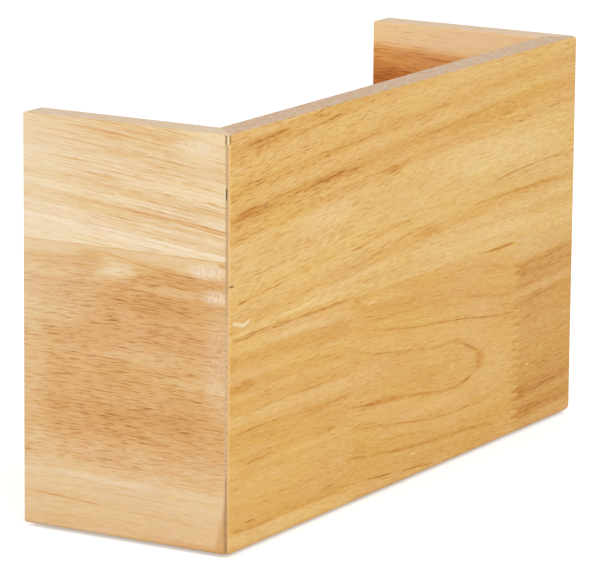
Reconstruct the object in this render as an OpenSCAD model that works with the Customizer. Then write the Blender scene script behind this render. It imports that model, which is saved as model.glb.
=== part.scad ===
// Umbrella stand: a wide board and two wings, mitred at the upright corners and
// tied across the open side by two rails, round a base board and a lift-out tray.
// The boards are glued up from staves, and the lower stave of the wide board is
// finger-jointed from three lengths.
// Origin: middle of the footprint, on the floor. +Z is up, -Y is the wide board.

/* [Boards] */
// Width across the wide board
stand_w = 434; // [360:1:520]
// Depth from the wide board's face to the free ends of the wings
stand_d = 143; // [125:1:200]
// Height of the three boards
board_h = 250; // [220:1:320]
// Thickness of the three boards
board_t = 18; // [15:0.5:22]

/* [Staves] */
// Height of the wide board's upper stave
front_upper_h = 122; // [80:1:160]
// Height of the left wing's upper stave
left_upper_h = 75; // [40:1:160]
// Height of the right wing's upper stave
right_upper_h = 96; // [40:1:160]
// Middle of the left finger joint, from the left face
left_joint_at = 140; // [60:1:160]
// Middle of the right finger joint, from the right face
right_joint_at = 79; // [40:1:140]

/* [Finger joints] */
// Length of the fingers
finger_l = 10.5; // [6:0.5:20]
// Spacing of the fingers, rounded so that they fill the stave
finger_pitch = 5.5; // [4:0.1:9]
// Width of the blunt fingertips
finger_tip = 0.8; // [0.4:0.1:1.5]

/* [Eased edges] */
// Radius on the upright outer corners
corner_r = 2.5; // [0.5:0.1:5]
// Radius on the lower outer edges
foot_r = 2.5; // [0.5:0.1:5]
// Radius on the top edges, the free ends and the rails
edge_r = 1.2; // [0.5:0.1:3]
// Radius that rounds the foot of the upright corners
foot_corner_r = 5; // [1:0.5:8]
// Radius that rounds the top of the upright corners
top_corner_r = 3; // [1:0.5:5]
// Radius on the corners of the wings' free ends, seen from the side
end_corner_r = 2.5; // [0.5:0.1:5]

/* [Mitre biscuits] */
// Biscuits in each mitre
biscuit_count = 3; // [2:1:4]
// Length of a biscuit, along the corner
biscuit_l = 47; // [38:1:52]
// Width of a biscuit, half in each board
biscuit_w = 15; // [12:0.5:16]
// Thickness of a biscuit
biscuit_t = 3.8; // [3:0.1:4]
// Shift of the biscuits from the middle of the mitre to its inner corner
biscuit_shift = 2; // [0:0.5:3]

/* [Dowels] */
// Diameter of the dowels
dowel_d = 8; // [6:0.5:9]
// Length of the dowels
dowel_l = 30; // [24:1:36]
// Depth of a dowel in the face of the piece beside it
dowel_in_face = 12; // [8:0.5:13]
// Distance between the dowels along the base board's long edges
dowel_spacing = 120; // [80:5:150]

/* [Rails] */
// Height of each rail across the open side
rail_h = 40; // [30:1:60]
// Thickness of the rails
rail_t = 18; // [15:0.5:22]
// Drop from the top of the boards to the top of the upper rail
rail_drop = 60; // [50:1:100]

/* [Base] */
// Thickness of the base board
base_t = 18; // [12:0.5:22]
// Depth of the base board's front stave
base_front_d = 60; // [40:1:75]
// Diameter of the foot pads
pad_d = 16; // [10:1:24]
// Thickness of the foot pads
pad_h = 2; // [1:0.5:4]
// Inset of the foot pads' centres from the sides of the base board
pad_inset = 20; // [12:1:30]

/* [Drip tray] */
// Gap between the tray's rim and the wood around it
tray_gap = 1.5; // [0.5:0.1:4]
// Height of the tray
tray_h = 22; // [16:1:34]
// Wall of the tray
tray_wall = 1.6; // [1:0.1:2.4]
// Width of the rim, outside the wall
tray_rim = 6; // [4:0.5:8]
// Height of the rim's turned-down lip
tray_lip = 5; // [3:0.5:8]
// Radius of the rim's corners, in plan
tray_corner_r = 16; // [14:0.5:24]
// Inward lean of the tray's wall, from rim to floor
tray_draft = 2; // [0.5:0.1:4]
// Ribs across the tray's floor
rib_count = 7; // [3:1:11]
// Width of a rib
rib_w = 3; // [2:0.5:6]
// Height of a rib
rib_h = 1.5; // [0.5:0.1:3]

/* [Hidden] */

$fn = 96;

// Clearances
past = 1;             // how far a cutter reaches past what it cuts
slot_side_gap = 0.1;  // glue room on each flat side of a biscuit
slot_edge_gap = 0.5;  // glue room at each curved edge of a biscuit
hole_gap = 0.05;      // glue room round a dowel
hole_end_gap = 0.5;   // glue room past each end of a dowel
seat_gap = 0.3;       // between the tray and the base board under it
biscuit_blunt = 3;    // cut off each pointed end of a biscuit
dowel_chamfer = 1;    // bevel round each end of a dowel
corner_blend = 0.07;  // by which an upright corner's round stops short of the edges
pad_bevel = 0.4;      // bevel round the underside of a foot pad
rim_r = 1;            // radius on the outside of the tray's rim
rib_sink = 0.5;       // how far a rib runs into the tray's floor
rib_margin = 6;       // from the ends of a rib to the foot of the tray's wall

// Levels
z_foot = pad_h;
z_top = z_foot + board_h;
z_base_top = z_foot + base_t;
z_base_mid = z_foot + base_t / 2;
z_front_seam = z_top - front_upper_h;
z_rail_top = z_top - rail_drop;
z_tray = z_base_top + seat_gap;

// Plan
half_w = stand_w / 2;
y_face = -stand_d / 2;
y_end = stand_d / 2;
inner_half_w = half_w - board_t;
inner_w = 2 * inner_half_w;
y_base_front = y_face + board_t;
y_base_seam = y_base_front + base_front_d;
y_base_rear = y_end - rail_t;
base_d = y_base_rear - y_base_front;
x_left_joint = left_joint_at - half_w;
x_right_joint = half_w - right_joint_at;

// Dowel places: [y, z] on the wings' inner faces, x along the base board's edges
base_end_places = [
  [(y_base_front + y_base_seam) / 2, z_base_mid],
  [(y_base_seam + y_base_rear) / 2, z_base_mid]
];
rail_end_places = [
  for (rail_z = [z_foot, z_rail_top - rail_h], share = [1, 3])
    [y_end - rail_t / 2, rail_z + share * rail_h / 4]
];
base_edge_places = [-dowel_spacing, 0, dowel_spacing];

// Colours
honey = [0.88, 0.69, 0.43];
amber = [0.84, 0.62, 0.37];
cream = [0.91, 0.79, 0.60];
tan_wood = [0.85, 0.67, 0.46];
beech = [0.85, 0.72, 0.55];
pad_black = [0.12, 0.12, 0.12];
tray_grey = [0.25, 0.26, 0.27];

// ---- Shapes shared by the boards ----

// What an eased edge takes off a corner at the origin, the solid being in +X +Y.
// A blend above 0 makes its round meet the two sides at a slight angle.
module arris(r, blend = 0) {
  difference() {
    translate([-past, -past]) square(r + past);
    translate([r, r]) circle(r + blend);
  }
}

// A rectangle whose four corners are eased by the radii given: near the origin,
// then at full width, at full width and height, and at full height.
module eased_rect(size, radii) {
  difference() {
    square(size);
    if (radii[0] > 0) arris(radii[0]);
    if (radii[1] > 0) translate([size[0], 0]) mirror([1, 0]) arris(radii[1]);
    if (radii[2] > 0) translate(size) rotate(180) arris(radii[2]);
    if (radii[3] > 0) translate([0, size[1]]) mirror([0, 1]) arris(radii[3]);
  }
}

// Sweeps a section drawn in Y and Z along +X, and one drawn in X and Z along +Y.
module along_x(length) { rotate([90, 0, 90]) linear_extrude(length) children(); }
module along_y(length) { translate([0, length, 0]) rotate([90, 0, 0]) linear_extrude(length) children(); }

// What rounds one end of the left upright corner, where three edges meet at the
// origin: a round in the plane of the mitre, swept straight across it.
module corner_round(r) {
  tip = corner_r * (sqrt(2) - 1);
  reach = tip + r + past;
  rotate([0, 0, 45]) translate([tip, -reach, 0]) along_y(2 * reach) arris(r, corner_blend);
}

// Takes the rounds off both ends of the left upright corner.
module corner_rounds() {
  translate([-half_w, y_face, z_foot]) corner_round(foot_corner_r);
  translate([-half_w, y_face, z_top]) mirror([0, 0, 1]) corner_round(top_corner_r);
}

// ---- The three boards, before they are parted into staves ----

// Wide board: the section swept across the width, within the mitred plan.
module front_blank() {
  difference() {
    intersection() {
      translate([-half_w, y_face, z_foot])
        along_x(stand_w) eased_rect([board_t, board_h], [foot_r, 0, edge_r, edge_r]);
      linear_extrude(z_top + past) difference() {
        polygon([[-half_w, y_face], [half_w, y_face],
                 [inner_half_w, y_base_front], [-inner_half_w, y_base_front]]);
        for (side = [0, 1]) mirror([side, 0])
          translate([-half_w, y_face]) arris(corner_r);
      }
    }
    for (side = [0, 1]) mirror([side, 0, 0]) corner_rounds();
  }
}

// Left wing: section, side view and plan, which meet in one solid.
module wing_blank() {
  difference() {
    intersection() {
      translate([-half_w, y_face, z_foot])
        along_y(stand_d) eased_rect([board_t, board_h], [foot_r, 0, edge_r, edge_r]);
      translate([-half_w - past, y_face - past, z_foot])
        along_x(board_t + 2 * past)
          eased_rect([stand_d + past, board_h], [0, end_corner_r, end_corner_r, 0]);
      linear_extrude(z_top + past) difference() {
        polygon([[-half_w, y_face], [-inner_half_w, y_base_front],
                 [-inner_half_w, y_end], [-half_w, y_end]]);
        translate([-half_w, y_face]) arris(corner_r);
        translate([-half_w, y_end]) mirror([0, 1]) arris(edge_r);
        translate([-inner_half_w, y_end]) rotate(180) arris(edge_r);
      }
    }
    corner_rounds();
  }
}

// ---- Biscuits and dowels, and the slots and holes that take them ----

// Flat oval with blunt ends, its length along X.
module biscuit_outline(length, width) {
  chord = length + 2 * biscuit_blunt;
  radius = (chord * chord + width * width) / (4 * width);
  intersection() {
    translate([0, width / 2 - radius]) circle(radius, $fn = 240);
    translate([0, radius - width / 2]) circle(radius, $fn = 240);
    square([length, width], center = true);
  }
}

// The biscuits of the left mitre, made larger by the gaps given.
module mitre_biscuits(side_gap, edge_gap) {
  offset_in = board_t / 2 + biscuit_shift / sqrt(2);
  for (i = [0 : biscuit_count - 1])
    translate([-half_w + offset_in, y_face + offset_in, z_foot + board_h * (i + 0.5) / biscuit_count])
      rotate([0, 0, 45]) rotate([0, -90, 0])
        linear_extrude(biscuit_t + 2 * side_gap, center = true)
          biscuit_outline(biscuit_l + 2 * edge_gap, biscuit_w + 2 * edge_gap);
}

module mitre_slots() { mitre_biscuits(slot_side_gap, slot_edge_gap); }

// A dowel, or with gaps its hole, lying along +X with dowel_in_face of it past the origin.
module dowel_shape(round_gap, end_gap, bevel) {
  radius = dowel_d / 2 + round_gap;
  length = dowel_l + 2 * end_gap;
  translate([dowel_in_face - dowel_l - end_gap, 0, 0]) rotate([0, 90, 0])
    rotate_extrude() polygon([
      [0, 0], [radius - bevel, 0], [radius, bevel],
      [radius, length - bevel], [radius - bevel, length], [0, length]
    ]);
}
module dowel() { dowel_shape(0, 0, dowel_chamfer); }
module dowel_hole() { dowel_shape(hole_gap, hole_end_gap, 0); }

// Puts a dowel or hole through each end of what stands between the wings.
module at_ends(places) {
  for (side = [0, 1], place = places) mirror([side, 0, 0])
    translate([inner_half_w, place[0], place[1]]) children();
}

// Puts a dowel or hole along the base board's front edge, and along its rear edge.
module at_front_edge() {
  for (x = base_edge_places)
    translate([x, y_base_front, z_base_mid]) rotate([0, 0, -90]) children();
}
module at_rear_edge() {
  for (x = base_edge_places)
    translate([x, y_base_rear, z_base_mid]) rotate([0, 0, 90]) children();
}

// ---- Wide board ----

// Points up a finger joint whose middle is at x, from one level to the next.
function finger_edge(x, z_from, z_to) =
  let (
    count = max(1, round((z_to - z_from) / finger_pitch)),
    pitch = (z_to - z_from) / count,
    near = x - finger_l / 2,
    far = x + finger_l / 2,
    half_tip = finger_tip / 2
  )
  [
    [near, z_from - past],
    for (i = [0 : count - 1])
      let (z = z_from + i * pitch)
      each [
        [near, z + half_tip],
        [far, z + pitch / 2 - half_tip],
        [far, z + pitch / 2 + half_tip],
        [near, z + pitch - half_tip]
      ],
    [near, z_to]
  ];

// A plain end of the lower stave, past the board's own edge.
function open_edge(x, z_from, z_to) = [[x, z_from - past], [x, z_to]];

function reversed(points) = [for (i = [len(points) - 1 : -1 : 0]) points[i]];

left_joint = finger_edge(x_left_joint, z_foot, z_front_seam);
right_joint = finger_edge(x_right_joint, z_foot, z_front_seam);
left_side = open_edge(-half_w - past, z_foot, z_front_seam);
right_side = open_edge(half_w + past, z_foot, z_front_seam);

// Takes the joinery out of one stave of the wide board.
module front_stave() {
  difference() {
    intersection() {
      front_blank();
      children();
    }
    for (side = [0, 1]) mirror([side, 0, 0]) mitre_slots();
    at_front_edge() dowel_hole();
  }
}

// A length of the lower stave between two joints.
module front_length(from_edge, to_edge) {
  front_stave()
    translate([0, y_face - past, 0])
      along_y(board_t + 2 * past) polygon(concat(from_edge, reversed(to_edge)));
}

module front_upper_stave() {
  color(honey) front_stave()
    translate([-stand_w, y_face - past, z_front_seam])
      cube([2 * stand_w, board_t + 2 * past, front_upper_h + past]);
}
module front_lower_left_stave() { color(honey) front_length(left_side, left_joint); }
module front_lower_middle_stave() { color(honey) front_length(left_joint, right_joint); }
module front_lower_right_stave() { color(amber) front_length(right_joint, right_side); }

// ---- Wings ----

// A stave of the left wing, from one level to another.
module wing_stave(z_from, z_to) {
  difference() {
    intersection() {
      wing_blank();
      translate([-half_w - past, y_face - past, z_from])
        cube([board_t + 2 * past, stand_d + 2 * past, z_to - z_from]);
    }
    mitre_slots();
    at_ends(concat(base_end_places, rail_end_places)) dowel_hole();
  }
}

module left_upper_stave() { color(cream) wing_stave(z_top - left_upper_h, z_top + past); }
module left_lower_stave() { color(tan_wood) wing_stave(z_foot - past, z_top - left_upper_h); }
module right_upper_stave() {
  color(cream) mirror([1, 0, 0]) wing_stave(z_top - right_upper_h, z_top + past);
}
module right_lower_stave() {
  color(amber) mirror([1, 0, 0]) wing_stave(z_foot - past, z_top - right_upper_h);
}

module left_mitre_biscuits() { color(beech) mitre_biscuits(0, 0); }
module right_mitre_biscuits() { color(beech) mirror([1, 0, 0]) mitre_biscuits(0, 0); }

// ---- Base board ----

module base_stave(y_from, y_to) {
  difference() {
    translate([-inner_half_w, y_from, z_foot]) cube([inner_w, y_to - y_from, base_t]);
    at_ends(base_end_places) dowel_hole();
    at_front_edge() dowel_hole();
    at_rear_edge() dowel_hole();
  }
}

module base_front_stave() { color(honey) base_stave(y_base_front, y_base_seam); }
module base_rear_stave() { color(tan_wood) base_stave(y_base_seam, y_base_rear); }

module base_dowels() {
  color(beech) {
    at_ends(base_end_places) dowel();
    at_front_edge() dowel();
    at_rear_edge() dowel();
  }
}

// Four round pads stuck under the base board, near its corners.
module foot_pads() {
  color(pad_black)
    for (side = [-1, 1], y = [y_base_front + pad_inset, y_base_rear - pad_inset])
      translate([side * (inner_half_w - pad_inset), y, 0]) rotate_extrude() polygon([
        [0, 0], [pad_d / 2 - pad_bevel, 0], [pad_d / 2, pad_bevel], [pad_d / 2, pad_h], [0, pad_h]
      ]);
}

// ---- Rails across the open side ----

// A rail whose lower edge on the open side has the radius given.
module rail(z_from, outer_r) {
  difference() {
    translate([-inner_half_w, y_end - rail_t, z_from])
      along_x(inner_w) eased_rect([rail_t, rail_h], [edge_r, outer_r, edge_r, edge_r]);
    at_ends(rail_end_places) dowel_hole();
    at_rear_edge() dowel_hole();
  }
}

module upper_rail() { color(honey) rail(z_rail_top - rail_h, edge_r); }
module lower_rail() { color(tan_wood) rail(z_foot, end_corner_r); }
module rail_dowels() { color(beech) at_ends(rail_end_places) dowel(); }

// ---- Drip tray ----

tray_l = inner_w - 2 * tray_gap;
tray_d = base_d - 2 * tray_gap;
rim_in = tray_corner_r - tray_rim;
floor_out = rim_in - tray_draft;
core_l = tray_l - 2 * tray_corner_r;
core_d = tray_d - 2 * tray_corner_r;

// Half section from the corner's centre outwards: floor, leaning wall, rim and lip.
module tray_section() {
  difference() {
    polygon([
      [0, 0], [floor_out, 0], [rim_in, tray_h - tray_wall],
      [tray_corner_r - tray_wall, tray_h - tray_wall],
      [tray_corner_r - tray_wall, tray_h - tray_lip], [tray_corner_r, tray_h - tray_lip],
      [tray_corner_r, tray_h], [rim_in - tray_wall, tray_h],
      [floor_out - tray_wall, tray_wall], [0, tray_wall]
    ]);
    translate([tray_corner_r, tray_h]) rotate(180) arris(rim_r);
  }
}

// The section turned round the four corners, swept along the four sides.
module tray_shell() {
  for (turn = [0, 1], flip = [0, 1]) mirror([turn, 0, 0]) mirror([0, flip, 0])
    translate([core_l / 2, core_d / 2, 0]) rotate_extrude(angle = 90) tray_section();
  for (flip = [0, 1]) mirror([0, flip, 0])
    translate([-core_l / 2, core_d / 2, 0]) along_x(core_l) tray_section();
  for (turn = [0, 1]) mirror([turn, 0, 0])
    translate([core_l / 2, -core_d / 2, 0]) along_y(core_d) tray_section();
  translate([-core_l / 2, -core_d / 2, 0]) cube([core_l, core_d, tray_wall]);
}

// Round-ended ribs that keep umbrella tips out of the water.
module tray_ribs() {
  reach = core_d / 2 + floor_out - tray_wall - rib_margin - rib_w / 2;
  for (i = [0 : rib_count - 1])
    translate([core_l * ((i + 0.5) / rib_count - 0.5), 0, tray_wall - rib_sink])
      linear_extrude(rib_sink + rib_h) {
        square([rib_w, 2 * reach], center = true);
        for (end = [-1, 1]) translate([0, end * reach]) circle(rib_w / 2);
      }
}

module drip_tray() {
  color(tray_grey)
    translate([0, (y_base_front + y_base_rear) / 2, z_tray]) {
      tray_shell();
      tray_ribs();
    }
}

front_upper_stave();
front_lower_left_stave();
front_lower_middle_stave();
front_lower_right_stave();
left_upper_stave();
left_lower_stave();
right_upper_stave();
right_lower_stave();
left_mitre_biscuits();
right_mitre_biscuits();
base_front_stave();
base_rear_stave();
base_dowels();
upper_rail();
lower_rail();
rail_dowels();
foot_pads();
drip_tray();
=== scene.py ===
import math
from functools import reduce

import bpy
from mathutils import Matrix, Vector


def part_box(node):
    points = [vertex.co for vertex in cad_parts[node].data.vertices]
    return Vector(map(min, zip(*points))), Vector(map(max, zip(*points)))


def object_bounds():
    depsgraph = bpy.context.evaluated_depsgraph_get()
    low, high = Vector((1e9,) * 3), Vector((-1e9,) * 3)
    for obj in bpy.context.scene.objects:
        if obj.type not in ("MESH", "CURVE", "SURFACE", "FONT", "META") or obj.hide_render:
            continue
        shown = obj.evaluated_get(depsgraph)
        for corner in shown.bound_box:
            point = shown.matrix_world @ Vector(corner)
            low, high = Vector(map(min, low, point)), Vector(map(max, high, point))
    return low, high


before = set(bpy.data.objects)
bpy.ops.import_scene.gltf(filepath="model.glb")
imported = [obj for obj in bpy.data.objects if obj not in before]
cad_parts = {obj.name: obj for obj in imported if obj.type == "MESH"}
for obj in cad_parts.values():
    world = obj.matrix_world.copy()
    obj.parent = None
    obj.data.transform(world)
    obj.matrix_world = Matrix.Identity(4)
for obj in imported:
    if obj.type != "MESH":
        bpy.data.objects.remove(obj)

CAD_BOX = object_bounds()
LOW = Vector(CAD_BOX[0])
HIGH = Vector(CAD_BOX[1])
MM = 1000  # millimetres in a metre
SCENE = bpy.context.scene


# ---- Places on the boards, in millimetres ----

def place_along(x):
    """Distance from the left face."""
    return (x - LOW.x) * MM


def place_down(z):
    """Distance below the top edges."""
    return (HIGH.z - z) * MM


WIDTH = place_along(HIGH.x)
DEPTH = (HIGH.y - LOW.y) * MM
HEIGHT = place_down(LOW.z)
BOARD = place_along(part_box("left_lower_stave")[1][0])  # the boards' thickness
FRONT_SEAM = place_down(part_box("front_upper_stave")[0][2])
LEFT_SEAM = place_down(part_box("left_upper_stave")[0][2])
# The finger tips of the left joint, on both sides
LEFT_JOINT = (place_along(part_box("front_lower_middle_stave")[0][0]),
              place_along(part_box("front_lower_left_stave")[1][0]))


# ---- Node graphs ----

def linear(*colour):
    """An sRGB colour, 0 to 255, as the linear colour that shaders take."""
    shares = (value / 255 for value in colour)
    return (*(share / 12.92 if share <= 0.04045 else ((share + 0.055) / 1.055) ** 2.4
              for share in shares), 1)


class Graph:
    """Builds one material's nodes: numbers and sockets can be given alike."""

    def __init__(self, name):
        self.material = bpy.data.materials.new(name)
        self.material.use_nodes = True
        self.tree = self.material.node_tree
        self.shader = self.tree.nodes["Principled BSDF"]

    def node(self, kind, *values, **settings):
        """A new node, with the values on its first inputs."""
        node = self.tree.nodes.new(kind)
        for key, value in settings.items():
            setattr(node, key, value)
        for socket, value in zip(node.inputs, values):
            self.feed(socket, value)
        return node

    def feed(self, socket, value):
        if isinstance(value, bpy.types.NodeSocket):
            self.tree.links.new(value, socket)
        else:
            socket.default_value = value

    def math(self, operation, *values):
        return self.node("ShaderNodeMath", *values, operation=operation).outputs[0]

    def add(self, *values):
        return reduce(lambda total, value: self.math("ADD", total, value), values)

    def times(self, *values):
        return reduce(lambda total, value: self.math("MULTIPLY", total, value), values)

    def minus(self, a, b):
        return self.math("SUBTRACT", a, b)

    def over(self, a, b):
        return self.math("DIVIDE", a, b)

    def absolute(self, value):
        return self.math("ABSOLUTE", value)

    def more(self, mask, share, total):
        """mask times share on top of total."""
        return self.math("MULTIPLY_ADD", mask, share, total)

    def remap(self, value, low, high, to_low=0, to_high=1, smooth=True):
        """value from low..high to to_low..to_high, held at both ends."""
        node = self.node("ShaderNodeMapRange", value, low, high, to_low, to_high,
                         interpolation_type="SMOOTHSTEP" if smooth else "LINEAR")
        return node.outputs[0]

    def curve(self, value, points, reach_in, reach_out):
        """Smooth curve through points, given in units of reach_in and reach_out."""
        node = self.node("ShaderNodeFloatCurve")
        line = node.mapping.curves[0]
        while len(line.points) < len(points):
            line.points.new(0.5, 0.5)
        for point, (place, level) in zip(line.points, points):
            point.location = (place / reach_in, level / reach_out)
        node.mapping.update()
        self.feed(node.inputs["Value"], self.over(value, reach_in))
        return self.times(node.outputs[0], reach_out)

    def vector(self, x, y, z):
        return self.node("ShaderNodeCombineXYZ", x, y, z).outputs[0]

    def split(self, vector):
        return tuple(self.node("ShaderNodeSeparateXYZ", vector).outputs)

    def vector_math(self, operation, *values):
        return self.node("ShaderNodeVectorMath", *values, operation=operation).outputs[0]

    def noise_node(self, vector, detail, roughness=0.5):
        w, scale = 0, 1
        return self.node("ShaderNodeTexNoise", vector, w, scale, detail, roughness)

    def noise(self, vector, detail=2, roughness=0.5):
        """Noise of about -0.5 to 0.5 whose cells are one unit of vector."""
        return self.minus(self.noise_node(vector, detail, roughness).outputs["Fac"], 0.5)

    def field(self, *parts, detail=2):
        """Noise over three parts, each a number, a socket or (socket, cell size)."""
        place = [self.over(*part) if isinstance(part, tuple) else part for part in parts]
        return self.noise(self.vector(*place), detail)

    def ramp(self, value, stops, reach):
        """Colour ramp through stops of (place, sRGB colour), places up to reach."""
        node = self.node("ShaderNodeValToRGB")
        elements = node.color_ramp.elements
        while len(elements) < len(stops):
            elements.new(1)
        for element, (place, colour) in zip(elements, stops):
            element.position = place / reach
            element.color = linear(*colour)
        self.feed(node.inputs[0], self.over(value, reach))
        return node.outputs[0]

    def mix(self, amount, a, b, blend="MIX"):
        node = self.node("ShaderNodeMix", amount, data_type="RGBA", blend_type=blend)
        self.feed(node.inputs[6], a)
        self.feed(node.inputs[7], b)
        return node.outputs[2]

    def tint(self, colour, *masks):
        """Lays a colour, sRGB or a socket, over self.colour by the product of the masks."""
        if isinstance(colour, tuple):
            colour = linear(*colour)
        self.colour = self.mix(self.times(*masks), self.colour, colour)

    def surface(self, inputs):
        """Sets the shader's inputs by name."""
        for name, value in inputs.items():
            self.feed(self.shader.inputs[name], value)

    def group(self, tree, *values):
        return self.node("ShaderNodeGroup", *values, node_tree=tree).outputs[0]

    def coordinates(self):
        """The place, in metres, as x, y and z; the normal goes to self.normal."""
        node = self.node("ShaderNodeTexCoord")
        self.normal = self.split(node.outputs["Normal"])
        return self.split(node.outputs["Object"])

    def bump(self, height, strength, distance):
        node = self.node("ShaderNodeBump", strength, distance)
        self.feed(node.inputs["Height"], height)
        self.feed(self.shader.inputs["Normal"], node.outputs[0])


class Group(Graph):
    """Nodes used over and over: a group of number inputs with one number output."""

    def __init__(self, name, inputs):
        self.tree = bpy.data.node_groups.new(name, "ShaderNodeTree")
        sockets = self.tree.interface
        for title in inputs.split():
            sockets.new_socket(title, in_out="INPUT", socket_type="NodeSocketFloat")
        sockets.new_socket("Result", in_out="OUTPUT", socket_type="NodeSocketFloat")
        # All but the last, which Blender keeps empty for more
        self.values = self.node("NodeGroupInput").outputs[:-1]

    def close(self, result):
        self.feed(self.node("NodeGroupOutput").inputs[0], result)
        return self.tree


def drawn_line():
    """A line's mask times its tone on top of the total so far, thin at both ends."""
    group = Group("drawn_line", "Along Across Middle Start End Width Feather Tone Total")
    along, across, middle, start, end, width, feather, tone, total = group.values
    share = group.remap(along, start, end, smooth=False)
    away = group.absolute(group.minus(across, middle))
    core = group.remap(away, group.times(width, 0.75), group.times(width, 0.1))
    taper = group.remap(group.math("PINGPONG", share, 0.5), 0, feather)
    return group.close(group.more(group.times(core, taper), tone, total))


def soft_patch():
    """A soft oval's mask times its tone on top of the total so far, with a ragged edge."""
    group = Group("soft_patch",
                  "Along Across Left Down Length Height Ragged Core Tone Total")
    along, across, left, down, length, height, ragged, core, tone, total = group.values
    across_share = group.over(group.minus(along, left), group.times(length, 0.5))
    down_share = group.over(group.minus(across, down), group.times(height, 0.5))
    away = group.more(across_share, across_share, group.times(down_share, down_share))
    away = group.add(group.math("SQRT", away), ragged)
    return group.close(group.more(group.remap(away, 1, core), tone, total))


DRAWN_LINE = drawn_line()
SOFT_PATCH = soft_patch()


# ---- Wood ----

# Colour of each tone, from the lightest fibre to the darkest line
HONEY = [(0, (239, 203, 135)), (0.25, (233, 193, 119)), (0.5, (227, 181, 104)),
         (0.75, (220, 169, 88)), (1, (211, 154, 72)), (1.25, (200, 137, 57)),
         (1.5, (183, 115, 40)), (1.8, (152, 88, 26))]
PALE = [(0, (243, 222, 190)), (0.25, (238, 213, 174)), (0.5, (231, 200, 154)),
        (0.75, (226, 187, 134)), (1, (220, 172, 114)), (1.25, (210, 156, 95)),
        (1.5, (196, 138, 74)), (1.8, (166, 106, 48))]
# The right wing's inner face as it looks inside the stand: its darker stops are partly painted
# shade.
AMBER_WITH_SHADE = [(0, (250, 213, 155)), (0.4, (247, 202, 138)), (0.8, (232, 172, 106)),
         (1, (226, 163, 98)), (1.2, (212, 141, 76)), (1.5, (193, 117, 56)),
         (1.8, (160, 88, 32))]
RAMP_REACH = 1.8  # the darkest tone of all
# All drawn lines together are this much narrower and lighter than written.
STROKE_WIDTH = 0.92
STROKE_TONE = 0.78
# Slide of the vessel lines along the grain, for each millimetre across it
PORE_SLIDE = 3.7

# Vessel lines: rows of (tone, length, width, noise where they start, and where they are full)
EVEN_PORES = [(.4, 8, .8, .11, .2), (.36, 16, .9, .17, .25), (.2, 42, 1, .12, .28)]
QUIET_PORES = [(.3, 8, .8, .11, .21), (.3, 16, .9, .17, .26), (.16, 50, 1.1, .12, .28)]
HEART_PORES = [(.44, 8, .78, .09, .17), (.38, 16, .84, .12, .2)]
LINED_PORES = [(.36, 48, .9, .05, .18), (.3, 90, 1.1, .11, .24), (.34, 12, .8, .13, .22)]


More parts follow.
